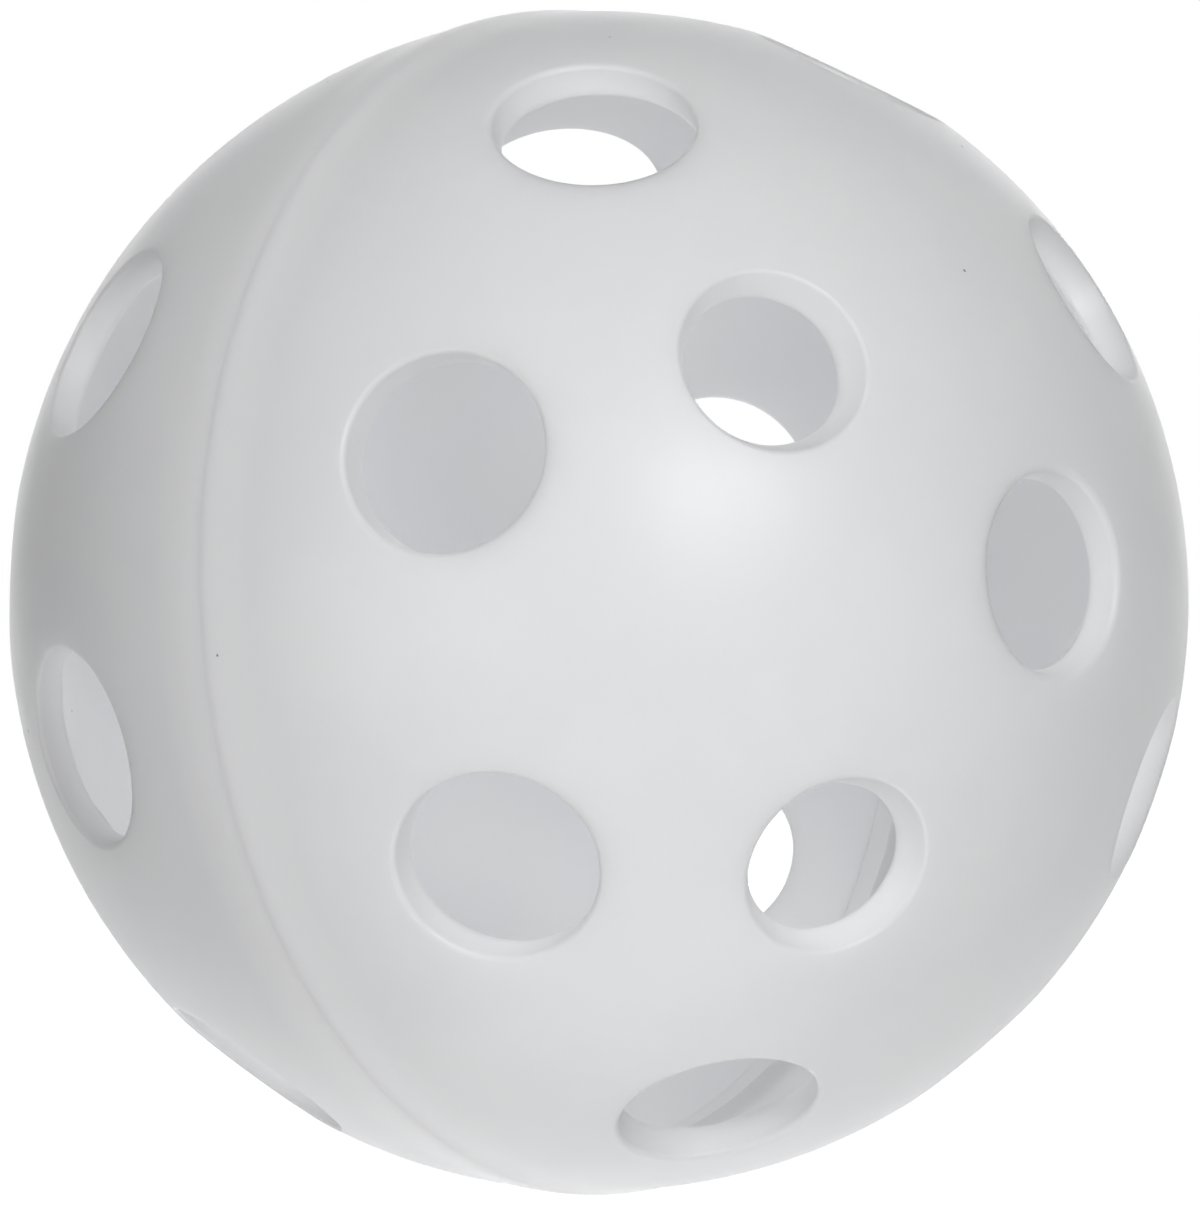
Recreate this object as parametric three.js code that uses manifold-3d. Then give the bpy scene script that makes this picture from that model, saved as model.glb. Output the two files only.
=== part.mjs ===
// Floorball ball: a hollow perforated ball of two moulded half shells, welded together at the seam.
// Millimetres, +Z up. The origin is the ball's centre. Both halves were drawn from their moulds
// along X, so X is the axis of the hole pattern: the front half's pole hole looks along +X and the
// rear half's along -X. Azimuths run round X, from +Y towards +Z.

import * as THREE from "three";
import { mergeVertices } from "three/addons/utils/BufferGeometryUtils.js";
import Module from "manifold-3d";

const wasm = await Module();
wasm.setup();

// The hollow ball
const BALL_DIAMETER = 72;
const WALL = 2;

// The seam, where the front half's tongue slips into the rear half's rebate
const SEAM_X = -0.7;
const TONGUE_LENGTH = 1.75;
const FIT_GAP = 0.3;

// The front half thickens inwards towards the tip of its tongue
const COLLAR_HEIGHT = 0.25;
const COLLAR_END_X = 6;

// The slight swelling that the weld leaves on the outside
const SWELL_X = -1.4;
const SWELL_HEIGHT = 0.28;
const SWELL_REACH = 3.2;

// The weld bead, a ring of melted plastic that fills the rebate beyond the tongue's tip. Its inner
// face is a little rounded.
const BEAD_WIDTH = 1;
const BEAD_RISE = 0.1;

// The hole at each pole, as diameters at its outer and inner mouths
const POLE_HOLE = 12.1;
const POLE_HOLE_INSIDE = 11.2;

// The four holes round each pole. Their pins were drawn at a slant, which leaves each inner mouth
// further from the pole than the outer mouth by the slip.
const NEAR_ROW_COUNT = 4;
const NEAR_ROW_ANGLE = 36.9;
const NEAR_ROW_HOLE = 11.4;
const NEAR_ROW_HOLE_INSIDE = 9.4;
const NEAR_ROW_SLIP = 0.3;

// The eight holes between those and the seam, whose inner mouths lie nearer the pole
const FAR_ROW_COUNT = 8;
const FAR_ROW_ANGLE = 65.6;
const FAR_ROW_HOLE = 12.2;
const FAR_ROW_HOLE_INSIDE = 11.9;
const FAR_ROW_SLIP = -0.7;

// The rounding of each hole's outer edge, which stops short of the sphere by a small angle, and the
// least height of plain wall left below it
const HOLE_ROUND = 0.3;
const ROUND_EDGE_ANGLE = 15;
const HOLE_LAND = 0.2;

// Azimuth of a near row hole of the front half, and how far the rear half was turned when welded
const PATTERN_AZIMUTH = 50.7;
const REAR_TURN = 29.1;

// Facets
const SHELL_SIDES = 48;
const HOLE_SIDES = 20;
const ARC_STEP = 7.5;
const SWELL_STEPS = 4;
const ROUND_STEPS = 2;
const BEAD_STEPS = 4;
const MERGE_DISTANCE = 1e-4;

const outerRadius = BALL_DIAMETER / 2;
const innerRadius = outerRadius - WALL;
const lapThickness = (WALL - FIT_GAP) / 2;
const tongueTipX = SEAM_X - TONGUE_LENGTH;
const beadFrontX = tongueTipX - FIT_GAP;
const beadRearX = beadFrontX - BEAD_WIDTH;
const rebateEndX = beadRearX - FIT_GAP;
const holeRound = Math.min(HOLE_ROUND, WALL - HOLE_LAND);
// How far a cutting tool runs past each face of the wall
const cutOverrun = WALL;
const PLASTIC = { color: 0xe4e5e8, roughness: 0.45, metalness: 0 };

const radians = (degrees) => THREE.MathUtils.degToRad(degrees);

// How far the weld's swelling lifts the outside at x along the axis.
function swell(x) {
  const t = Math.abs(x - SWELL_X) / SWELL_REACH;
  return t < 1 ? SWELL_HEIGHT * (0.5 + 0.5 * Math.cos(Math.PI * t)) : 0;
}

// A point of a meridian at height y along the pole axis, at a radius from the centre.
function meridianPoint(radius, y) {
  return new THREE.Vector2(Math.sqrt(radius * radius - y * y), y);
}

// Heights from the pole down to the seam, close together where the surface swells.
function meridianHeights(radius, rimHeight, swellHeight) {
  const heights = [];
  const swellTop = swellHeight + SWELL_REACH;
  const angleAtSwell = THREE.MathUtils.radToDeg(Math.acos(swellTop / radius));
  const steps = Math.max(2, Math.round(angleAtSwell / ARC_STEP));
  for (let i = 1; i <= steps; i += 1) {
    heights.push(radius * Math.cos(radians((angleAtSwell * i) / steps)));
  }
  const fine = Math.max(1, Math.ceil(((swellTop - rimHeight) / SWELL_REACH) * SWELL_STEPS));
  for (let i = 1; i <= fine; i += 1) {
    heights.push(swellTop + ((rimHeight - swellTop) * i) / fine);
  }
  return heights;
}

// How far the front half's thickening stands in from the plain inside at x along the axis.
function collar(x) {
  const t = (COLLAR_END_X - x) / (COLLAR_END_X - tongueTipX);
  return t > 0 ? COLLAR_HEIGHT * (0.5 - 0.5 * Math.cos(Math.PI * t)) : 0;
}

// Closed meridian section of a half shell with its pole along +Y. side is 1 for the front half, whose
// rim carries the tongue on its inside, and -1 for the rear half, whose rim is rebated there.
function halfSection(side) {
  const outerRim = side > 0 ? SEAM_X : FIT_GAP - SEAM_X;
  const innerRim = side > 0 ? tongueTipX : -rebateEndX;
  const outside = [new THREE.Vector2(0, outerRadius)];
  for (const y of meridianHeights(outerRadius, outerRim, side * SWELL_X)) {
    outside.push(meridianPoint(outerRadius + swell(side * y), y));
  }
  const inside = [new THREE.Vector2(0, innerRadius)];
  const rimAngle = THREE.MathUtils.radToDeg(Math.acos(innerRim / innerRadius));
  const steps = Math.round(rimAngle / ARC_STEP);
  for (let i = 1; i <= steps; i += 1) {
    const y = innerRadius * Math.cos(radians((rimAngle * i) / steps));
    inside.push(meridianPoint(innerRadius - (side > 0 ? collar(y) : 0), y));
  }
  const stepRadius = side > 0 ? innerRadius + lapThickness : outerRadius - lapThickness;
  const step = [new THREE.Vector2(stepRadius, outerRim), new THREE.Vector2(stepRadius, innerRim)];
  return [...outside, ...step, ...inside.reverse()];
}

// Closed meridian section of the tool that cuts one hole, with the hole's axis along +Y. The outer
// edge is rounded by an arc that would touch both the sphere and the bore.
function holeSection(hole, holeInside) {
  const bore = hole / 2;
  const boreInside = holeInside / 2;
  const centreX = bore + holeRound;
  const centreY = Math.sqrt((outerRadius - holeRound) ** 2 - centreX ** 2);
  const start = Math.atan2(centreY, centreX) + radians(ROUND_EDGE_ANGLE);
  const points = [];
  for (let i = 0; i <= ROUND_STEPS; i += 1) {
    const angle = start + ((Math.PI - start) * i) / ROUND_STEPS;
    const x = centreX + holeRound * Math.cos(angle);
    points.push(new THREE.Vector2(x, centreY + holeRound * Math.sin(angle)));
  }
  const mouth = points[0].clone().multiplyScalar(1 + cutOverrun / outerRadius);
  const insideY = Math.sqrt(innerRadius ** 2 - boreInside ** 2);
  const slope = (bore - boreInside) / (centreY - insideY);
  const tip = new THREE.Vector2(boreInside - slope * cutOverrun, insideY - cutOverrun);
  return [new THREE.Vector2(0, mouth.y), mouth, ...points, tip, new THREE.Vector2(0, tip.y)];
}

function lathe(section, sides) {
  const geometry = new THREE.LatheGeometry(section, sides);
  geometry.deleteAttribute("normal");
  geometry.deleteAttribute("uv");
  return mergeVertices(geometry, MERGE_DISTANCE);
}

// Turns a closed geometry into a solid, drops the triangles that collapse on the axis, and makes
// sure that its faces point out.
function toSolid(geometry) {
  const source = geometry.index.array;
  const corners = [];
  for (let i = 0; i < source.length; i += 3) {
    const [a, b, c] = [source[i], source[i + 1], source[i + 2]];
    if (a !== b && b !== c && c !== a) corners.push(a, b, c);
  }
  const vertProperties = new Float32Array(geometry.attributes.position.array);
  if (signedVolume(vertProperties, corners) < 0) {
    for (let i = 0; i < corners.length; i += 3) {
      [corners[i + 1], corners[i + 2]] = [corners[i + 2], corners[i + 1]];
    }
  }
  return new wasm.Manifold(new wasm.Mesh({ numProp: 3, vertProperties, triVerts: new Uint32Array(corners) }));
}

function signedVolume(positions, corners) {
  let volume = 0;
  const point = (i) => new THREE.Vector3().fromArray(positions, 3 * i);
  for (let i = 0; i < corners.length; i += 3) {
    volume += point(corners[i]).dot(point(corners[i + 1]).cross(point(corners[i + 2]))) / 6;
  }
  return volume;
}

function toGeometry(solid) {
  const mesh = solid.getMesh();
  const geometry = new THREE.BufferGeometry();
  const positions = new Float32Array(mesh.vertProperties);
  geometry.setAttribute("position", new THREE.BufferAttribute(positions, 3));
  geometry.setIndex(new THREE.BufferAttribute(new Uint32Array(mesh.triVerts), 1));
  geometry.computeVertexNormals();
  return geometry;
}

// Shears a tool whose axis is +Y towards +X, by the slip over the thickness of the wall.
function slant(geometry, mouthHeight, slip) {
  const rate = slip / WALL;
  const shear = new THREE.Matrix4().set(
    1, -rate, 0, rate * mouthHeight,
    0, 1, 0, 0,
    0, 0, 1, 0,
    0, 0, 0, 1,
  );
  geometry.applyMatrix4(shear);
}

// One hole's cutting tool, tilted from the pole along +Y by its row's angle and turned round the pole.
function holeTool(hole, holeInside, slip, rowAngle, azimuth) {
  const geometry = lathe(holeSection(hole, holeInside), HOLE_SIDES);
  slant(geometry, Math.sqrt(outerRadius ** 2 - (hole / 2) ** 2), slip);
  geometry.rotateZ(-radians(rowAngle));
  geometry.rotateY(-radians(azimuth));
  return toSolid(geometry);
}

// The tools for all the holes of a half, with a hole of the near row at azimuth 0.
function holeTools() {
  const tools = [holeTool(POLE_HOLE, POLE_HOLE_INSIDE, 0, 0, 0)];
  for (let i = 0; i < NEAR_ROW_COUNT; i += 1) {
    const azimuth = (360 * i) / NEAR_ROW_COUNT;
    tools.push(
      holeTool(NEAR_ROW_HOLE, NEAR_ROW_HOLE_INSIDE, NEAR_ROW_SLIP, NEAR_ROW_ANGLE, azimuth),
    );
  }
  for (let i = 0; i < FAR_ROW_COUNT; i += 1) {
    const azimuth = (360 * (i + 0.5)) / FAR_ROW_COUNT;
    tools.push(
      holeTool(FAR_ROW_HOLE, FAR_ROW_HOLE_INSIDE, FAR_ROW_SLIP, FAR_ROW_ANGLE, azimuth),
    );
  }
  return tools;
}

// A half shell, modelled with its pole along +Y, then turned about its pole to its pattern's azimuth
// and laid over so that the pole points along +X or -X.
function halfShell(name, side, azimuth) {
  let solid = toSolid(lathe(halfSection(side), SHELL_SIDES));
  for (const tool of holeTools()) {
    solid = solid.subtract(tool);
  }
  const mesh = new THREE.Mesh(toGeometry(solid), new THREE.MeshStandardMaterial(PLASTIC));
  mesh.name = name;
  mesh.rotation.set(0, side * radians(azimuth), -side * (Math.PI / 2), "ZYX");
  return mesh;
}

// The weld bead: its back lies in the rebate at the fit gap, and its inner face is in line with the
// rear half's inside, but for a slight swelling along its middle.
function weldBead() {
  const backRadius = innerRadius + lapThickness;
  const section = [new THREE.Vector2(backRadius, beadRearX), new THREE.Vector2(backRadius, beadFrontX)];
  for (let i = BEAD_STEPS; i >= 0; i -= 1) {
    const t = i / BEAD_STEPS;
    const face = meridianPoint(innerRadius, beadRearX + BEAD_WIDTH * t);
    face.x -= BEAD_RISE * Math.sin(Math.PI * t);
    section.push(face);
  }
  section.push(section[0].clone());
  const solid = toSolid(lathe(section, SHELL_SIDES));
  const mesh = new THREE.Mesh(toGeometry(solid), new THREE.MeshStandardMaterial(PLASTIC));
  mesh.name = "weld_bead";
  mesh.rotation.z = -Math.PI / 2;
  return mesh;
}

const ball = new THREE.Group();
ball.add(halfShell("front_half_shell", 1, PATTERN_AZIMUTH));
ball.add(halfShell("rear_half_shell", -1, PATTERN_AZIMUTH + REAR_TURN));
ball.add(weldBead());

export default ball;
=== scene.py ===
"""Dresses the floorball ball: two half shells of milky plastic, full of round holes, welded together.

Everything is in metres, in the ball's own frame. The origin is the ball's centre, both halves were
drawn from their moulds along X, and +Z is up. Azimuths run round X, from +Y towards +Z.
"""

import math
from collections import namedtuple

import bmesh
import bpy
from bpy.props import FloatProperty, FloatVectorProperty, PointerProperty
from mathutils import Matrix, Vector, noise
from mathutils.geometry import delaunay_2d_cdt


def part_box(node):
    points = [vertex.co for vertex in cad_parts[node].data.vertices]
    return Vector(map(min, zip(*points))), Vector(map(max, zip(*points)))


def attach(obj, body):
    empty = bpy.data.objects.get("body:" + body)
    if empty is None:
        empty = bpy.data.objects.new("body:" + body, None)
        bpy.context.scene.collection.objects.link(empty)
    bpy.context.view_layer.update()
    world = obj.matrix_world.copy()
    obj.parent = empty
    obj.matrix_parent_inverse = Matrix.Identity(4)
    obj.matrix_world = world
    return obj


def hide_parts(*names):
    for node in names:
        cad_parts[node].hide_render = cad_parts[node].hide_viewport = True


bl_info = {
    "name": "Floorball Ball",
    "version": (1, 0, 0),
    "blender": (4, 5, 0),
    "location": "View3D > Sidebar > Ball",
    "description": "Builds a hollow perforated ball, its weld and the studio round it",
    "category": "Object",
}

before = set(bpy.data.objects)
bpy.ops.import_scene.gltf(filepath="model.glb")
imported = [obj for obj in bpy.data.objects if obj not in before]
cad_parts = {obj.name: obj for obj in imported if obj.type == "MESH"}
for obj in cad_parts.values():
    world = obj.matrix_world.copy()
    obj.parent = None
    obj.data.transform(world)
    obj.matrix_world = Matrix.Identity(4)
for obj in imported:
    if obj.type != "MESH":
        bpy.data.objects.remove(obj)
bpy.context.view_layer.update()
BODY = "root"

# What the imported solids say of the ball's size. From PLAIN_FROM_X on, the front half is a plain sphere.
FRONT_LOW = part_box("front_half_shell")[0]
REAR_LOW, REAR_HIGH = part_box("rear_half_shell")
BEAD_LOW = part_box("weld_bead")[0]
PLAIN_FROM_X = 0.01
SHELL_RADIUS = max(
    v.co.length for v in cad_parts["front_half_shell"].data.vertices if v.co.x > PLAIN_FROM_X
)
REST_HEIGHT = min(FRONT_LOW.z, REAR_LOW.z)
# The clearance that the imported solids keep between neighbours
FIT_GAP = 0.0003

# Facets round the ball's rims and round a hole, across a hole's lip, along its bore, and over the
# other rounded corners
RIM_SIDES = 288
HOLE_SIDES = 96
ROUND_STEPS = 8
BORE_STEPS = 3
CORNER_STEPS = 4
# Width of the rows of facets beside the seam, spacing of the points elsewhere, and the share of that
# spacing which they keep clear of edges
SEAM_ROW = 0.0004
FILL_SPACING = 0.0009
FILL_MARGIN = 0.6
# How far from the seam the evenly filled caps end and the rows along the rim begin
CAP_EDGE = 0.006
# Turn from one point of a sunflower's spiral to the next
GOLDEN_ANGLE = math.pi * (3 - math.sqrt(5))
# Points of a flat map that lie closer than this are one
SAME_POINT = 1e-8
# Facets across the weld's face, and how closely its unevenness follows round the seam
WELD_STEPS = 12
WELD_WAVES = 9.0

# Holes in the row round each pole, and in the row between that and the seam
NEAR_ROW_COUNT = 4
FAR_ROW_COUNT = 8

# Share of the fine grain in the skin's relief, against the longer waves
GRAIN_SHARE = 0.35
# Detail of the cloudiness, and the stretch of its noise over which one colour gives way to the other
CLOUD_DETAIL = 3.0
CLOUD_FROM = 0.35
CLOUD_TO = 0.65

BLACK = (0.0, 0.0, 0.0, 1.0)
WHITE = (1.0, 1.0, 1.0, 1.0)

# Height of the picture in pixels, which the lens's shift was measured in
PICTURE_HEIGHT = 1210
# Height of the camera's sensor in millimetres
SENSOR_HEIGHT = 36.0

# A hole of a half: its angle from the pole and its azimuth, its radius below the lip and at the inside,
# how much further from the pole it lies inside (as an angle), and the rounding of its lip
Hole = namedtuple("Hole", "angle azimuth mouth inside slip lip")


class BallShape(bpy.types.PropertyGroup):
    """The sizes of the ball's plastic"""

    radius: FloatProperty(
        name="Radius", description="Outside radius of the ball",
        default=SHELL_RADIUS, unit="LENGTH")
    wall: FloatProperty(
        name="Wall", description="Thickness of the plastic",
        default=0.002, unit="LENGTH")
    seam: FloatProperty(
        name="Seam", description="Where the two halves meet outside, along the ball's X axis",
        default=REAR_HIGH.x + FIT_GAP, unit="LENGTH")
    seam_gap: FloatProperty(
        name="Seam gap", description="Clearance left between the pieces along their joint",
        default=0.000002, unit="LENGTH")
    seam_rounding: FloatProperty(
        name="Seam rounding", description="Rounding of each rim's outer edge, which makes the fine line",
        default=0.000006, unit="LENGTH")
    tongue_tip: FloatProperty(
        name="Tongue tip", description="Where the front half's tongue ends, along X",
        default=FRONT_LOW.x, unit="LENGTH")
    tip_rounding: FloatProperty(
        name="Tip rounding", description="Rounding of the tongue's inner edge",
        default=0.00008, unit="LENGTH")
    tongue_depth: FloatProperty(
        name="Tongue depth", description="How deep the tongue and the weld lie in the rear half's wall",
        default=0.00015, unit="LENGTH")
    rebate_end: FloatProperty(
        name="Rebate end", description="Where the rear half's rebate ends, along X",
        default=BEAD_LOW.x - FIT_GAP, unit="LENGTH")
    collar: FloatProperty(
        name="Collar", description="How far the front half thickens inwards towards the tongue's tip",
        default=0.00025, unit="LENGTH")
    swelling_place: FloatProperty(
        name="Swelling place", description="Where the swelling beside the seam is highest, along X",
        default=-0.0014, unit="LENGTH")
    swelling: FloatProperty(
        name="Swelling", description="Height of the swelling that the weld left",
        default=0.00024, unit="LENGTH")
    swelling_reach: FloatProperty(
        name="Swelling reach", description="How far the swelling runs to each side of its highest line",
        default=0.0032, unit="LENGTH")
    swelling_least: FloatProperty(
        name="Swelling least", description="Share of the swelling left on the ball's -Y and +Y sides",
        default=0.3, min=0, max=1, subtype="FACTOR")
    pole_hole: FloatProperty(
        name="Pole hole", description="Diameter of the hole at each pole, below its rounded edge",
        default=0.0121, unit="LENGTH")
    pole_hole_inside: FloatProperty(
        name="Pole hole inside", description="Diameter of the pole hole at the inside of the wall",
        default=0.0112, unit="LENGTH")
    near_row_angle: FloatProperty(
        name="Near row angle", description="Angle from the pole to the row of four holes round it",
        default=math.radians(36.9), unit="ROTATION")
    near_row_hole: FloatProperty(
        name="Near row hole", description="Diameter of each hole of the row of four",
        default=0.0114, unit="LENGTH")
    near_row_hole_inside: FloatProperty(
        name="Near row hole inside", description="Diameter of those holes at the inside of the wall",
        default=0.0094, unit="LENGTH")
    near_row_slip: FloatProperty(
        name="Near row slip", description="How much further from the pole those holes lie at the inside",
        default=0.0003, unit="LENGTH")
    far_row_angle: FloatProperty(
        name="Far row angle", description="Angle from the pole to the row of eight holes by the seam",
        default=math.radians(65.6), unit="ROTATION")
    far_row_hole: FloatProperty(
        name="Far row hole", description="Diameter of each hole of the row of eight",
        default=0.0122, unit="LENGTH")
    far_row_hole_inside: FloatProperty(
        name="Far row hole inside", description="Diameter of those holes at the inside of the wall",
        default=0.0119, unit="LENGTH")
    far_row_slip: FloatProperty(
        name="Far row slip", description="The same for the row of eight; below 0 it is towards the pole",
        default=-0.0007, unit="LENGTH")
    pole_hole_rounding: FloatProperty(
        name="Pole hole rounding", description="Rounding of the pole holes' outer edges",
        default=0.00048, unit="LENGTH")
    hole_rounding: FloatProperty(
        name="Hole rounding", description="Rounding of the other holes' outer edges",
        default=0.0003, unit="LENGTH")
    inside_rounding: FloatProperty(
        name="Inside rounding", description="Rounding of the holes' inner edges",
        default=0.0004, unit="LENGTH")
    pattern_azimuth: FloatProperty(
        name="Pattern azimuth", description="Azimuth of a near row hole of the front half",
        default=math.radians(50.7), unit="ROTATION")
    rear_turn: FloatProperty(
        name="Rear turn", description="How far the rear half was turned when it was welded on",
        default=math.radians(29.1), unit="ROTATION")
    weld_rise: FloatProperty(
        name="Weld rise", description="How far the weld stands in from the wall along its middle",
        default=0.00005, unit="LENGTH")
    weld_unevenness: FloatProperty(
        name="Weld unevenness", description="How far the weld's face wanders in and out",
        default=0.00006, unit="LENGTH")


class BallPlastic(bpy.types.PropertyGroup):
    """The finish of the ball's plastic"""

    colour: FloatVectorProperty(
        name="Colour", description="Body colour of the plastic",
        default=(0.916, 0.919, 0.931), subtype="COLOR", size=3)
    cloud_colour: FloatVectorProperty(
        name="Cloud colour", description="Colour where the melt lies a little thinner",
        default=(0.896, 0.899, 0.911), subtype="COLOR", size=3)
    speck_colour: FloatVectorProperty(
        name="Speck colour", description="Colour of the few dark specks in the plastic",
        default=(0.33, 0.33, 0.34), subtype="COLOR", size=3)
    cloud_scale: FloatProperty(
        name="Cloud scale", description="Cloudy patches to a metre",
        default=90.0, min=0)
    roughness: FloatProperty(
        name="Roughness", description="Roughness of the satin skin",
        default=0.41, min=0, max=1, subtype="FACTOR")
    roughness_spread: FloatProperty(
        name="Roughness spread", description="How much the skin's roughness varies from place to place",
        default=0.1, min=0, max=1, subtype="FACTOR")
    ior: FloatProperty(
        name="Index of refraction", description="How strongly polyethylene bends light",
        default=1.51, min=1)
    # Painted glow, its colour and strength: emission on the inside faces and bore walls that stands in for
    # the light seeping through the plastic
    painted_glow_colour: FloatVectorProperty(
        name="Glow colour", description="Colour of the light that seeps through to the inside",
        default=(0.98, 0.98, 1.0), subtype="COLOR", size=3)
    glow: FloatProperty(
        name="Glow", description="Strength of the light that seeps through to the inside",
        default=0.083, min=0)
    depth: FloatProperty(
        name="Depth", description="How far light wanders inside the plastic",
        default=0.0022, unit="LENGTH")
    weld_depth: FloatProperty(
        name="Weld depth", description="How far light wanders inside the thin ring of the weld",
        default=0.00005, unit="LENGTH")
    # Painted glow: emission on the weld ring that stands in for the light seeping through it
    weld_painted_glow: FloatProperty(
        name="Weld glow", description="Strength of the light that seeps through the thin weld",
        default=0.105, min=0)
    # Painted light: a paler colour by the joint that makes up for the light lost in it
    seam_painted_light_colour: FloatVectorProperty(
        name="Seam colour", description="Colour by the joint, which makes up for the light lost in it",
        default=(0.955, 0.957, 0.965), subtype="COLOR", size=3)
    # Painted glow by the seam outside: emission that stands in for the light crossing the welded joint,
    # broad and right on its line
    seam_painted_glow: FloatProperty(
        name="Seam glow", description="Strength of the light that crosses the welded joint",
        default=0.045, min=0)
    seam_glow_reach: FloatProperty(
        name="Seam glow reach", description="How far from the joint the glow and the colour fade away",
        default=0.0045, unit="LENGTH")
    line_painted_glow: FloatProperty(
        name="Line glow", description="Strength of the light that crosses right at the seam's line",
        default=0.034, min=0)
    line_glow_reach: FloatProperty(
        name="Line glow reach", description="How far from the seam's line that light fades away",
        default=0.00022, unit="LENGTH")
    speck_spacing: FloatProperty(
        name="Speck spacing", description="Usual distance from one dark speck in the melt to the next",
        default=0.00585, unit="LENGTH")
    speck_radius: FloatProperty(
        name="Speck radius", description="Radius of a dark speck",
        default=0.0001, unit="LENGTH")
    skin_relief: FloatProperty(
        name="Skin relief", description="Height of the skin's fine waves and grain",
        default=0.00002, unit="LENGTH")
    grain_scale: FloatProperty(
        name="Grain scale", description="Grains of the skin to a metre",
        default=1400.0, min=0)
    wave_scale: FloatProperty(
        name="Wave scale", description="Waves of the skin to a metre",
        default=260.0, min=0)


class BallStudio(bpy.types.PropertyGroup):
    """The floor, the light and the camera"""

    camera_distance: FloatProperty(
        name="Camera distance", description="From the camera to the ball's centre",
        default=0.962, unit="LENGTH")
    view_height: FloatProperty(
        name="View height", description="Height of the picture, measured at the ball's centre",
        default=0.07386, unit="LENGTH")
    camera_azimuth: FloatProperty(
        name="Camera azimuth", description="Turn of the camera round the ball, from the -Y side",
        default=math.radians(39.9), unit="ROTATION")
    camera_elevation: FloatProperty(
        name="Camera elevation", description="Height of the camera above the ball's middle, as an angle",
        default=0.0, unit="ROTATION")
    camera_roll: FloatProperty(
        name="Camera roll", description="Lean of the picture's upright to the right",
        default=math.radians(3.54), unit="ROTATION")
    shift_right: FloatProperty(
        name="Shift right", description="Shift of the lens to the right, in heights of the picture",
        default=1.5 / PICTURE_HEIGHT)
    shift_up: FloatProperty(
        name="Shift up", description="Shift of the lens upwards, in heights of the picture",
        default=-3.8 / PICTURE_HEIGHT)
    lamp_colour: FloatVectorProperty(
        name="Lamp colour", description="Colour of every lamp's light",
        default=(0.995, 0.998, 1.007), subtype="COLOR", size=3, max=2)
    sky: FloatProperty(
        name="Sky", description="Strength of the even light from all round",
        default=0.04, min=0)
    floor_glow: FloatProperty(
        name="Floor glow", description="The floor's own brightness near the ball",
        default=0.85, min=0, max=1)
    white_from: FloatProperty(
        name="White from", description="How far from the ball the floor begins to turn pure white",
        default=0.1, unit="LENGTH")
    white_by: FloatProperty(
        name="White by", description="How far from the ball the floor is pure white",
        default=0.5, unit="LENGTH")
    floor_size: FloatProperty(
        name="Floor size", description="Side of the square floor",
        default=12.0, unit="LENGTH")
    floor_colour: FloatVectorProperty(
        name="Floor colour", description="Colour of the floor where the lamps light it",
        default=(0.9, 0.9, 0.9), subtype="COLOR", size=3)


# Name, place from the ball's centre as (right, up, towards the camera) in metres, side of the square
# lamp in metres, and power in watts
LAMPS = [
    ("key", (0.37, 0.36, 0.86), 0.30, 4.75),
    ("front", (-0.10, 0.00, 1.00), 0.80, 0.5),
    ("front_left", (-0.55, 0.00, 0.85), 0.60, 2.3),
    ("left", (-1.00, 0.00, 0.20), 0.80, 0.15),
    ("right", (1.00, 0.00, 0.20), 0.80, 0.1),
    ("top", (0.00, 1.00, 0.20), 0.80, 0.75),
    ("below", (0.00, -1.00, 0.20), 0.80, 3.1),
    ("below_right", (0.40, -1.00, 0.30), 0.60, 0.9),
    ("back", (0.00, 0.00, -1.00), 0.90, 3.0),
    ("back_below", (0.00, -0.70, -0.70), 0.80, 3.0),
]

# Small burrs that the mould left on the holes' inner edges, which stand into the opening: which half,
# which hole of its pattern, the turn round the hole's axis from the side away from the pole and the
# half width of the burr in degrees, and its height in metres
BURRS = [
    ("front_shell", 9, 72.0, 24.0, 0.00055),
    ("front_shell", 1, 320.0, 42.0, 0.0002),
    ("front_shell", 2, 215.0, 30.0, 0.00012),
    ("front_shell", 4, 20.0, 14.0, 0.0002),
    ("rear_shell", 6, 270.0, 12.0, 0.00025),
    ("rear_shell", 7, 122.0, 12.0, 0.00025),
    ("rear_shell", 7, 205.0, 9.0, 0.00015),
    ("rear_shell", 7, 238.0, 10.0, 0.0002),
]


class Skin:
    """Collects the points, normals and faces of one closed mesh."""

    def __init__(self):
        self.points = []
        self.normals = []
        self.faces = []

    def add(self, points, normals=()):
        """Adds points, with normals where they are given, and returns their numbers."""
        first = len(self.points)
        self.points += points
        self.normals += normals
        return list(range(first, len(self.points)))

    def strip(self, one, other):
        """Joins two closed rings of equal length."""
        for i in range(len(one)):
            j = (i + 1) % len(one)
            self.faces.append((one[i], one[j], other[j], other[i]))

    def to_object(self, name, turn):
        """Makes the mesh an object of the scene, turned into its place."""
        mesh = bpy.data.meshes.new(name)
        mesh.from_pydata([turn @ p for p in self.points], [], self.faces)
        work = bmesh.new()
        work.from_mesh(mesh)
        bmesh.ops.recalc_face_normals(work, faces=work.faces)
        work.to_mesh(mesh)
        work.free()
        mesh.shade_smooth()
        if self.normals:
            mesh.normals_split_custom_set_from_vertices([(turn @ n).normalized() for n in self.normals])
        piece = bpy.data.objects.new(name, mesh)
        bpy.context.scene.collection.objects.link(piece)
        return piece


def direction(angle, azimuth):
    """Unit vector at an angle from the +X pole."""
    across = math.sin(angle)
    return Vector((math.cos(angle), across * math.cos(azimuth), across * math.sin(azimuth)))


def hole_axes(hole):
    """The hole's own axis, and two directions square to it: away from the pole, and round it."""
    along = direction(hole.angle, hole.azimuth)
    away = direction(hole.angle + math.pi / 2, hole.azimuth)
    return along, away, along.cross(away)


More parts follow.
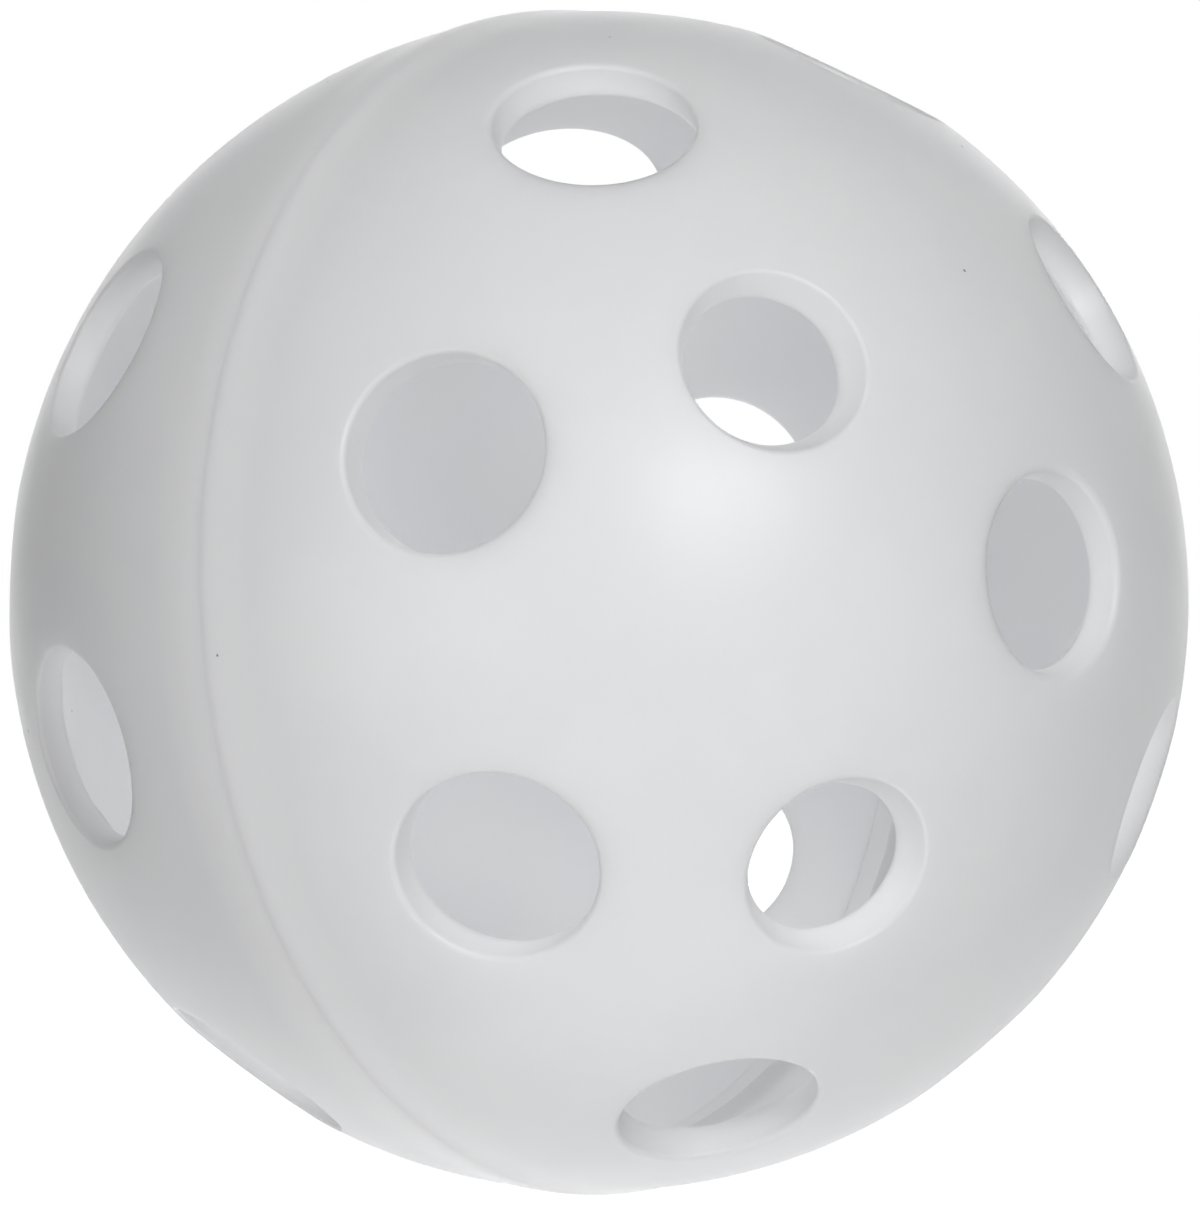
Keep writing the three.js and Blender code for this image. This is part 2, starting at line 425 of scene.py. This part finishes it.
def ring_round(hole, out, high, cuts=()):
    """Points (or normals) round a hole's axis, at a distance out from it and a height along it. The
    cuts are how much nearer the axis each point lies."""
    along, away, around = hole_axes(hole)
    points = []
    for i in range(HOLE_SIDES):
        t = math.tau * i / HOLE_SIDES
        reach = out - (cuts[i] if cuts else 0.0)
        points.append(along * high + (away * math.cos(t) + around * math.sin(t)) * reach)
    return points


def half_pattern(shape):
    """The 13 holes of a half, with a hole of the near row at azimuth 0 and the far row half a step on."""
    inner_radius = shape.radius - shape.wall

    def row(count, start, angle, width, width_inside, slip, lip):
        turns = [math.tau * (i + start) / count for i in range(count)]
        slip_angle = slip / inner_radius
        return [Hole(angle, turn, width / 2, width_inside / 2, slip_angle, lip) for turn in turns]

    pole = row(1, 0.0, 0.0, shape.pole_hole, shape.pole_hole_inside, 0.0, shape.pole_hole_rounding)
    near = row(NEAR_ROW_COUNT, 0.0, shape.near_row_angle, shape.near_row_hole,
               shape.near_row_hole_inside, shape.near_row_slip, shape.hole_rounding)
    far = row(FAR_ROW_COUNT, 0.5, shape.far_row_angle, shape.far_row_hole,
              shape.far_row_hole_inside, shape.far_row_slip, shape.hole_rounding)
    return pole + near + far


def slanted(hole, share):
    """The hole at a share of its depth, where its slant has carried it away from its outer mouth."""
    return hole._replace(angle=hole.angle + hole.slip * share)


def corner_curve(before, corner, after, cut):
    """Points of a small curve that rounds a corner, cut back by the same length on both sides."""
    start = corner + (before - corner).normalized() * cut
    end = corner + (after - corner).normalized() * cut
    points = []
    for i in range(CORNER_STEPS + 1):
        t = i / CORNER_STEPS
        points.append(start * (1 - t) ** 2 + corner * 2 * t * (1 - t) + end * t * t)
    return points


def side_normals(line):
    """Normals of an open line of 2-D points, to its left."""
    normals = []
    for i in range(len(line)):
        ahead = line[min(i + 1, len(line) - 1)] - line[max(i - 1, 0)]
        normals.append(Vector((-ahead.y, ahead.x)).normalized())
    return normals


def hole_profile(shape, hole):
    """The wall of a hole from the outside of the ball to the inside, as 2-D points (out from the
    hole's axis, height along it) with their normals: a round lip, the tapered bore, a small edge."""
    inner_radius = shape.radius - shape.wall
    lip = hole.lip
    centre = Vector((hole.mouth + lip, 0))
    centre.y = math.sqrt((shape.radius - lip) ** 2 - centre.x ** 2)
    start = math.atan2(centre.y, centre.x)
    bottom = Vector((hole.inside, math.sqrt(inner_radius ** 2 - hole.inside ** 2)))
    taper = math.atan2(hole.mouth - hole.inside, centre.y - bottom.y)
    end = math.pi - taper
    line = []
    for i in range(ROUND_STEPS + 1):
        angle = start + (end - start) * i / ROUND_STEPS
        line.append(centre + lip * Vector((math.cos(angle), math.sin(angle))))
    last = line[-1].copy()
    for i in range(1, BORE_STEPS):
        line.append(last.lerp(bottom, i / BORE_STEPS))
    ahead = bottom + Vector((bottom.y, -bottom.x)).normalized() * lip
    line += corner_curve(last, bottom, ahead, shape.inside_rounding)
    line[-1] = line[-1].normalized() * inner_radius
    normals = [-n for n in side_normals(line)]
    normals[0] = line[0].normalized()
    normals[-1] = -line[-1].normalized()
    return line, normals


def mouth_angles(profiles, end):
    """The angle between each hole's axis and its edge: outside where end is 0, inside where it is -1."""
    return [math.atan2(line[end].x, line[end].y) for _, (line, _) in profiles]


CapPlan = namedtuple("CapPlan", "points rim rings triangles")


def loop_edges(ring):
    """Pairs of neighbours round a closed ring."""
    return list(zip(ring, ring[1:] + ring[:1]))


def fill_points(edge_angle, holes, ring_angles, spacing):
    """Evenly spread points of the unit sphere between a cap's holes, on a sunflower's spiral."""
    margin = FILL_MARGIN * spacing
    area = math.tau * (1 - math.cos(edge_angle))
    area_of_each = spacing * spacing * math.sqrt(3) / 2
    count = int(area / area_of_each)
    keep_out = [(direction(h.angle, h.azimuth), math.cos(a + margin)) for h, a in zip(holes, ring_angles)]
    points = []
    for i in range(count):
        angle = math.acos(1 - (1 - math.cos(edge_angle)) * (i + 0.5) / count)
        point = direction(angle, i * GOLDEN_ANGLE)
        if angle < edge_angle - margin and all(point.dot(d) < limit for d, limit in keep_out):
            points.append(point)
    return points


def plan_cap(edge_angle, holes, ring_angles, radius):
    """Triangles over a cap of the unit sphere round the +X pole, open at its round holes. They are
    found in a flat map of the cap, and those with every corner on one hole's ring are left out."""
    points = [direction(edge_angle, math.tau * i / RIM_SIDES) for i in range(RIM_SIDES)]
    rim = list(range(RIM_SIDES))
    ring_of = {}
    edges = loop_edges(rim)
    rings = []
    for number, (hole, ring_angle) in enumerate(zip(holes, ring_angles)):
        first = len(points)
        points += ring_round(hole, math.sin(ring_angle), math.cos(ring_angle))
        ring = list(range(first, len(points)))
        rings.append(ring)
        ring_of.update((i, number) for i in ring)
        edges += loop_edges(ring)
    points += fill_points(edge_angle, holes, ring_angles, FILL_SPACING / radius)
    flat = [Vector((p.y, p.z)) / (1 + p.x) for p in points]
    _, _, faces, sources, _, _ = delaunay_2d_cdt(flat, edges, [], 0, SAME_POINT)
    triangles = []
    for face in faces:
        corners = tuple(sources[i][0] for i in face)
        owners = {ring_of.get(i) for i in corners}
        if len(owners) > 1 or owners == {None}:
            triangles.append(corners)
    return CapPlan(points, rim, rings, triangles)


def rise(share):
    """A smooth rise from 0 to 1 as the share goes from 0 to 1."""
    return 0.5 - 0.5 * math.cos(math.pi * share)


def swelling_at(shape, x, azimuth):
    """How far the weld lifts the outside at x along the ball's axis, and somewhere round it."""
    off = abs(x - shape.swelling_place) / shape.swelling_reach
    if off >= 1:
        return 0.0
    share = shape.swelling_least + (1 - shape.swelling_least) * math.sin(azimuth) ** 2
    return share * shape.swelling * rise(1 - off)


def collar_at(shape, x):
    """How far the front half's thickening stands in from the plain inside at x."""
    return shape.collar * rise((CAP_EDGE - x) / (CAP_EDGE - shape.tongue_tip))


def even_heights(start, end, spacing):
    """Evenly spread heights from start to end, about a spacing apart."""
    steps = math.ceil(abs(end - start) / spacing)
    return [start + (end - start) * i / steps for i in range(steps + 1)]


def outline_point(radius, x):
    """Where a sphere of a radius has its outline at x, as a 2-D point (out from the X axis, along it)."""
    return Vector((math.sqrt(radius ** 2 - x ** 2), x))


def rim_profile(shape, side, azimuth):
    """The rim of a half from the outside cap's edge to the inside cap's, as 2-D points (out from
    the X axis, distance along it towards the pole), somewhere round the ball. The front half's rim is
    a tongue on the inside, and the rear half's is rebated there."""
    bed = shape.radius - shape.wall + shape.tongue_depth
    if side > 0:
        rim, end = shape.seam, shape.tongue_tip
        step, rounding = bed - shape.seam_gap, shape.tip_rounding
    else:
        rim, end = shape.seam_gap - shape.seam, -shape.rebate_end
        step, rounding = bed, shape.seam_gap

    def outside(x):
        return outline_point(shape.radius + swelling_at(shape, side * x, azimuth), x)

    def inside(x):
        return outline_point(shape.radius - shape.wall - (collar_at(shape, x) if side > 0 else 0.0), x)

    outer = [outside(x) for x in even_heights(CAP_EDGE, rim, SEAM_ROW)]
    inner = [inside(x) for x in even_heights(end, CAP_EDGE, 2 * SEAM_ROW)]
    rim_corner = outline_point(step, rim)
    end_corner = outline_point(step, end)
    return (
        outer[:-1]
        + corner_curve(outer[-2], outer[-1], rim_corner, shape.seam_rounding)
        + [rim_corner, end_corner]
        + corner_curve(end_corner, inner[0], inner[1], rounding)
        + inner[1:]
    )


def spun(point, azimuth):
    """Where a 2-D point (out from the X axis, along it) lies in space, at an azimuth round that axis."""
    return Vector((0, math.cos(azimuth), math.sin(azimuth))) * point.x + Vector((point.y, 0, 0))


def add_rim(skin, shape, side, azimuth, first, last):
    """Joins the outside cap's edge to the inside cap's by the half's rim."""
    turns = [math.tau * i / RIM_SIDES for i in range(RIM_SIDES)]
    lines = [rim_profile(shape, side, turn + azimuth) for turn in turns]
    normals = [side_normals(line) for line in lines]
    for k in range(1, len(lines[0]) - 1):
        ring = skin.add([spun(line[k], turn) for line, turn in zip(lines, turns)],
                        [spun(normal[k], turn) for normal, turn in zip(normals, turns)])
        skin.strip(first, ring)
        first = ring
    skin.strip(first, last)


def burr_heights(name, number):
    """Height of the burr at each point round a hole's inner edge."""
    heights = [0.0] * HOLE_SIDES
    for half, hole, middle, reach, height in BURRS:
        if (half, hole) != (name, number):
            continue
        for i in range(HOLE_SIDES):
            off = (360 * i / HOLE_SIDES - middle + 180) % 360 - 180
            if abs(off) < reach:
                heights[i] += height * math.cos(math.pi / 2 * off / reach)
    return heights


def add_bore(skin, hole, profile, burrs, first, last):
    """Joins a hole's outer ring to its inner one by its slanting wall, with burrs on the inner edge."""
    line, normals = profile
    depth = line[0].y - line[-1].y
    edge = len(line) - 1 - CORNER_STEPS // 2
    for k in range(1, len(line) - 1):
        here = slanted(hole, (line[0].y - line[k].y) / depth)
        share = max(0.0, 1 - abs(k - edge) / (CORNER_STEPS - 1))
        points = ring_round(here, line[k].x, line[k].y, [share * height for height in burrs])
        ring = skin.add(points, ring_round(here, normals[k].x, normals[k].y))
        skin.strip(first, ring)
        first = ring
    skin.strip(first, last)


def build_half(shape, name, side, azimuth, plans, profiles):
    """One half shell: its two faces, the walls of its holes and its rim. Side is 1 or -1 along X."""
    skin = Skin()
    outer, inner = plans
    inner_radius = shape.radius - shape.wall
    out = skin.add([p * shape.radius for p in outer.points], list(outer.points))
    into = skin.add([p * inner_radius for p in inner.points], [-p for p in inner.points])
    skin.faces += [tuple(out[i] for i in corners) for corners in outer.triangles]
    skin.faces += [tuple(into[i] for i in corners) for corners in inner.triangles]
    for number, (hole, profile) in enumerate(profiles):
        add_bore(skin, hole, profile, burr_heights(name, number),
                 [out[i] for i in outer.rings[number]], [into[i] for i in inner.rings[number]])
    add_rim(skin, shape, side, azimuth, [out[i] for i in outer.rim], [into[i] for i in inner.rim])
    turn = Matrix.Scale(side, 4, Vector((1, 0, 0))) @ Matrix.Rotation(azimuth, 4, "X")
    return skin.to_object(name, turn)


def weld_face(shape, x, share, azimuth):
    """Radius of the weld's inner face at x, at a share of its width, somewhere round the seam."""
    wall = math.sqrt((shape.radius - shape.wall) ** 2 - x * x)
    place = Vector((share, WELD_WAVES * math.cos(azimuth), WELD_WAVES * math.sin(azimuth)))
    swell = math.sin(math.pi * share)
    return wall - swell * (shape.weld_rise + shape.weld_unevenness * noise.noise(place))


def build_weld(shape):
    """The ring of melted plastic beyond the tongue's tip, with an uneven face."""
    skin = Skin()
    low = shape.rebate_end + shape.seam_gap
    high = shape.tongue_tip - shape.seam_gap
    back = shape.radius - shape.wall + shape.tongue_depth - shape.seam_gap
    rings = []
    for i in range(RIM_SIDES):
        azimuth = math.tau * i / RIM_SIDES
        section = [outline_point(back, high), outline_point(back, low)]
        for k in range(WELD_STEPS + 1):
            share = k / WELD_STEPS
            x = low + (high - low) * share
            section.append(Vector((weld_face(shape, x, share, azimuth), x)))
        rings.append(skin.add([spun(point, azimuth) for point in section]))
    for ring, following in loop_edges(rings):
        skin.strip(ring, following)
    return skin.to_object("weld", Matrix.Identity(4))


class Value:
    """A number that varies over a surface. Sums written with it add the Math nodes that work them out."""

    def __init__(self, shader, socket):
        self.shader = shader
        self.socket = socket

    def worked_out(self, operation, *terms):
        """The outcome of a Math node on these terms."""
        settings = {"operation": operation}
        return self.shader.value("ShaderNodeMath", "Value", settings, dict(enumerate(terms)))

    def __add__(self, other):
        return self.worked_out("ADD", self, other)

    def __sub__(self, other):
        return self.worked_out("SUBTRACT", self, other)

    def __rsub__(self, other):
        return self.worked_out("SUBTRACT", other, self)

    def __mul__(self, other):
        return self.worked_out("MULTIPLY", self, other)

    __radd__ = __add__
    __rmul__ = __mul__

    def __abs__(self):
        return self.worked_out("ABSOLUTE", self)

    def __lt__(self, other):
        return self.worked_out("LESS_THAN", self, other)

    def or_more(self, other):
        """The larger of two values."""
        return self.worked_out("MAXIMUM", self, other)


class Shader:
    """The node tree of a material or of the world."""

    def __init__(self, owner):
        owner.use_nodes = True
        self.tree = owner.node_tree
        self.tree.nodes.clear()

    def fill(self, socket, value):
        """Sets a socket to a number or a colour, or links it to another socket."""
        if isinstance(value, Value):
            value = value.socket
        if isinstance(value, bpy.types.NodeSocket):
            self.tree.links.new(value, socket)
        else:
            socket.default_value = value

    def node(self, kind, settings=None, inputs=None):
        """Adds a node, sets it up, then fills its sockets."""
        node = self.tree.nodes.new(kind)
        for name, value in (settings or {}).items():
            setattr(node, name, value)
        for name, value in (inputs or {}).items():
            self.fill(node.inputs[name], value)
        return node

    def value(self, kind, output, settings=None, inputs=None):
        """Adds a node and takes one of its outputs as a number."""
        return Value(self, self.node(kind, settings, inputs).outputs[output])

    def place(self):
        """Where a point of the surface is, in the ball's frame."""
        return self.node("ShaderNodeTexCoord").outputs["Object"]

    def noise(self, place, scale, detail=2.0):
        """Soft noise, with about so many patches to a metre as the scale says."""
        return self.value("ShaderNodeTexNoise", "Fac", {},
                          {"Vector": place, "Scale": scale, "Detail": detail})

    def step(self, value, low, high):
        """0 below low and 1 above high, with a smooth rise between them."""
        return self.value("ShaderNodeMapRange", "Result", {"interpolation_type": "SMOOTHSTEP"},
                          {"Value": value, "From Min": low, "From Max": high})

    def mix_colour(self, share, one, other, clamp=True):
        """One colour where the share is 0 and the other where it is 1. The Mix node's sockets for
        colours are told from those for numbers by their identifiers."""
        node = self.node("ShaderNodeMix", {"data_type": "RGBA", "clamp_factor": clamp})
        for name, value in (("Factor_Float", share), ("A_Color", one), ("B_Color", other)):
            self.fill(next(s for s in node.inputs if s.identifier == name), value)
        return next(s for s in node.outputs if s.identifier == "Result_Color")

    def length(self, place):
        """Distance of a place from the ball's centre."""
        return self.value("ShaderNodeVectorMath", "Value", {"operation": "LENGTH"}, {0: place})

    def finish(self, surface, output="ShaderNodeOutputMaterial"):
        """Makes a shader the outcome of the tree."""
        self.node(output, {}, {"Surface": surface})


def opaque(colour):
    """The colour with an alpha of 1, as sockets take it."""
    return (*colour, 1.0)


def body_colour(shader, place, painted_seam_share, look):
    """Milky white, faintly clouded, with a few dark specks, and a little paler by the seam: painted
    light that makes up for the light lost in the joint.
    """
    clouds = shader.step(shader.noise(place, look.cloud_scale, CLOUD_DETAIL), CLOUD_FROM, CLOUD_TO)
    clouded = shader.mix_colour(clouds, opaque(look.colour), opaque(look.cloud_colour))
    with_painted_seam_light = shader.mix_colour(painted_seam_share, clouded, opaque(look.seam_painted_light_colour))
    off_speck = shader.value("ShaderNodeTexVoronoi", "Distance", {},
                             {"Vector": place, "Scale": 1 / look.speck_spacing})
    is_speck = off_speck < look.speck_radius / look.speck_spacing
    return shader.mix_colour(is_speck, with_painted_seam_light, opaque(look.speck_colour))


def painted_seeping_glow(shader, place, off_seam, painted_seam_share, shape, look):
    """Painted glow: an emission colour that stands in for the light seeping through to the inside,
    and outside for the little that crosses the welded joint. A share of 1 is the painted glow
    inside, and right at the seam the share may be larger."""
    inside = 1 - shader.step(shader.length(place), shape.radius - shape.wall, shape.radius)
    # Painted glow along the seam outside, strongest right on its line
    on_line = 1 - shader.step(off_seam, 0.0, look.line_glow_reach)
    painted_crossing_share = painted_seam_share * (look.seam_painted_glow / look.glow) + on_line * (look.line_painted_glow / look.glow)
    # Share of the painted glow: full on the inside faces and bore walls, and partial by the seam outside
    lit = inside + painted_crossing_share * (1 - inside)
    return shader.mix_colour(lit, BLACK, opaque(look.painted_glow_colour), clamp=False)


def plastic(name, shape, look, depth, strength):
    """Natural white polyethylene: milky and satin. Light wanders to a depth inside it, and the strength
    is that of the painted glow, an emission that stands in for the light that seeps through."""
    material = bpy.data.materials.new(name)
    shader = Shader(material)
    place = shader.place()
    along = shader.value("ShaderNodeSeparateXYZ", "X", {}, {0: place})
    off_seam = abs(along - shape.seam)
    # Share of the painted light by the seam, in the colour and in the glow
    painted_seam_share = 1 - shader.step(off_seam, 0.0, look.seam_glow_reach)
    grain = shader.noise(place, look.grain_scale)
    waves = shader.noise(place, look.wave_scale)
    bump = shader.node("ShaderNodeBump", {}, {
        "Strength": 1.0,
        "Distance": look.skin_relief,
        "Height": grain * GRAIN_SHARE + waves * (1 - GRAIN_SHARE),
    })
    principled = shader.node("ShaderNodeBsdfPrincipled", {"subsurface_method": "RANDOM_WALK"}, {
        "Base Color": body_colour(shader, place, painted_seam_share, look),
        "Roughness": look.roughness - look.roughness_spread / 2 + waves * look.roughness_spread,
        "IOR": look.ior,
        "Subsurface Weight": 1.0,
        "Subsurface Radius": (1.0, 1.0, 1.0),
        "Subsurface Scale": depth,
        # Painted glow: emission that stands in for light seeping through the walls and across the joint
        "Emission Color": painted_seeping_glow(shader, place, off_seam, painted_seam_share, shape, look),
        "Emission Strength": strength,
        "Normal": bump.outputs["Normal"],
    })
    shader.finish(principled.outputs[0])
    return material


def dress(piece, material, node):
    """Gives a piece its material, hangs it on its body, and hides the imported part that it stands for."""
    piece.data.materials.append(material)
    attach(piece, BODY)
    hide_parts(node)


def camera_axes(studio):
    """Right, up and back of the camera, in the ball's frame."""
    azimuth, elevation, roll = studio.camera_azimuth, studio.camera_elevation, studio.camera_roll
    out = math.cos(elevation)
    back = Vector((math.sin(azimuth) * out, -math.cos(azimuth) * out, math.sin(elevation)))
    level = Vector((math.cos(azimuth), math.sin(azimuth), 0))
    upright = back.cross(level)
    up = upright * math.cos(roll) + level * math.sin(roll)
    return up.cross(back), up, back


def white_backdrop(world, dim):
    """Pure white to the camera and in reflections, and a dimmer light on everything else."""
    shader = Shader(world)
    path = shader.node("ShaderNodeLightPath")
    seen = Value(shader, path.outputs["Is Camera Ray"])
    for name in ("Is Glossy Ray", "Is Transmission Ray"):
        seen = seen.or_more(Value(shader, path.outputs[name]))
    white = shader.node("ShaderNodeBackground", {}, {"Color": WHITE, "Strength": 1.0})
    shade = shader.node("ShaderNodeBackground", {}, {"Color": WHITE, "Strength": dim})
    mixed = shader.node("ShaderNodeMixShader", {},
                        {"Fac": seen, 1: shade.outputs[0], 2: white.outputs[0]})
    shader.finish(mixed.outputs[0], "ShaderNodeOutputWorld")


def floor_finish(studio):
    """Pale where the ball's shadow falls and white further off. Seen from below it isn't there."""
    material = bpy.data.materials.new("floor")
    shader = Shader(material)
    far = shader.step(shader.length(shader.place()), studio.white_from, studio.white_by)
    near_glow = opaque([studio.floor_glow] * 3)
    glow = shader.mix_colour(far, near_glow, WHITE)
    lit = shader.node("ShaderNodeBsdfDiffuse", {}, {"Color": opaque(studio.floor_colour)})
    emission = shader.node("ShaderNodeEmission", {}, {"Color": glow, "Strength": 1.0})
    both = shader.node("ShaderNodeAddShader", {}, {0: lit.outputs[0], 1: emission.outputs[0]})
    under = shader.node("ShaderNodeNewGeometry").outputs["Backfacing"]
    clear = shader.node("ShaderNodeBsdfTransparent")
    mixed = shader.node("ShaderNodeMixShader", {},
                        {"Fac": under, 1: both.outputs[0], 2: clear.outputs[0]})
    shader.finish(mixed.outputs[0])
    return material


class BALL_OT_half_shells(bpy.types.Operator):
    """Builds the two half shells, with their holes and the fine seam between them"""

    bl_idname = "ball.half_shells"
    bl_label = "Half shells"

    def execute(self, context):
        shape = context.scene.ball_shape
        holes = half_pattern(shape)
        profiles = [(hole, hole_profile(shape, hole)) for hole in holes]
        inner_radius = shape.radius - shape.wall
        outer = plan_cap(math.acos(CAP_EDGE / shape.radius), holes, mouth_angles(profiles, 0), shape.radius)
        inner = plan_cap(math.acos(CAP_EDGE / inner_radius), [slanted(hole, 1.0) for hole in holes],
                         mouth_angles(profiles, -1), inner_radius)
        look = context.scene.ball_plastic
        material = plastic("shell_plastic", shape, look, look.depth, look.glow)
        halves = [
            ("front_shell", 1, shape.pattern_azimuth, "front_half_shell"),
            ("rear_shell", -1, shape.pattern_azimuth + shape.rear_turn, "rear_half_shell"),
        ]
        for name, side, azimuth, node in halves:
            piece = build_half(shape, name, side, azimuth, (outer, inner), profiles)
            dress(piece, material, node)
        return {"FINISHED"}


class BALL_OT_weld(bpy.types.Operator):
    """Builds the ring of melted plastic inside the seam"""

    bl_idname = "ball.weld"
    bl_label = "Weld"

    def execute(self, context):
        shape, look = context.scene.ball_shape, context.scene.ball_plastic
        material = plastic("weld_plastic", shape, look, look.weld_depth, look.weld_painted_glow)
        dress(build_weld(shape), material, "weld_bead")
        return {"FINISHED"}


class BALL_OT_studio(bpy.types.Operator):
    """Sets the floor, the lamps, the white backdrop and the camera"""

    bl_idname = "ball.studio"
    bl_label = "Studio"

    def execute(self, context):
        scene = context.scene
        studio = scene.ball_studio
        scene.view_settings.view_transform = "Standard"
        right, up, back = camera_axes(studio)
        self.add_camera(scene, studio, right, up, back)
        for name, place, side, power in LAMPS:
            lamp = self.add_lamp(scene, name, right * place[0] + up * place[1] + back * place[2])
            lamp.size = side
            lamp.energy = power
            lamp.color = studio.lamp_colour
        scene.world = bpy.data.worlds.new("white_backdrop")
        white_backdrop(scene.world, studio.sky)
        self.add_floor(scene, studio)
        return {"FINISHED"}

    def add_camera(self, scene, studio, right, up, back):
        """Adds the camera, which looks at the ball's centre."""
        data = bpy.data.cameras.new("camera")
        data.sensor_fit = "VERTICAL"
        data.sensor_height = SENSOR_HEIGHT
        data.lens = data.sensor_height * studio.camera_distance / studio.view_height
        data.shift_x = studio.shift_right
        data.shift_y = studio.shift_up
        camera = bpy.data.objects.new("camera", data)
        scene.collection.objects.link(camera)
        turn = Matrix((right, up, back)).transposed().to_4x4()
        camera.matrix_world = Matrix.Translation(back * studio.camera_distance) @ turn
        scene.camera = camera

    def add_lamp(self, scene, name, place):
        """Adds a square lamp that shines at the ball from a place, and gives its light."""
        data = bpy.data.lights.new(name, "AREA")
        data.shape = "SQUARE"
        lamp = bpy.data.objects.new(name, data)
        scene.collection.objects.link(lamp)
        lamp.matrix_world = Matrix.Translation(place) @ place.to_track_quat("Z", "Y").to_matrix().to_4x4()
        lamp.visible_camera = False
        return data

    def add_floor(self, scene, studio):
        """Adds the floor that the ball rests on, which takes its shadow but lends it no light."""
        half = studio.floor_size / 2
        z = REST_HEIGHT
        mesh = bpy.data.meshes.new("floor")
        corners = [(-half, -half, z), (half, -half, z), (half, half, z), (-half, half, z)]
        mesh.from_pydata(corners, [], [(0, 1, 2, 3)])
        mesh.materials.append(floor_finish(studio))
        floor = bpy.data.objects.new("floor", mesh)
        scene.collection.objects.link(floor)
        floor.visible_diffuse = False
        floor.visible_shadow = False


class BALL_PT_panel(bpy.types.Panel):
    """Lists the operators that build the ball's pieces and its studio"""

    bl_label = "Ball"
    bl_space_type = "VIEW_3D"
    bl_region_type = "UI"
    bl_category = "Ball"

    def draw(self, context):
        for operator in OPERATORS:
            self.layout.operator(operator.bl_idname)


OPERATORS = [BALL_OT_half_shells, BALL_OT_weld, BALL_OT_studio]
GROUPS = {"ball_shape": BallShape, "ball_plastic": BallPlastic, "ball_studio": BallStudio}


def register():
    for group in GROUPS.values():
        bpy.utils.register_class(group)
    for operator in OPERATORS:
        bpy.utils.register_class(operator)
    bpy.utils.register_class(BALL_PT_panel)
    for name, group in GROUPS.items():
        setattr(bpy.types.Scene, name, PointerProperty(type=group))


def unregister():
    for name in GROUPS:
        delattr(bpy.types.Scene, name)
    bpy.utils.unregister_class(BALL_PT_panel)
    for operator in reversed(OPERATORS):
        bpy.utils.unregister_class(operator)
    for group in reversed(GROUPS.values()):
        bpy.utils.unregister_class(group)


def main():
    register()
    bpy.ops.ball.half_shells()
    bpy.ops.ball.weld()
    bpy.ops.ball.studio()


if __name__ == "__main__":
    main()
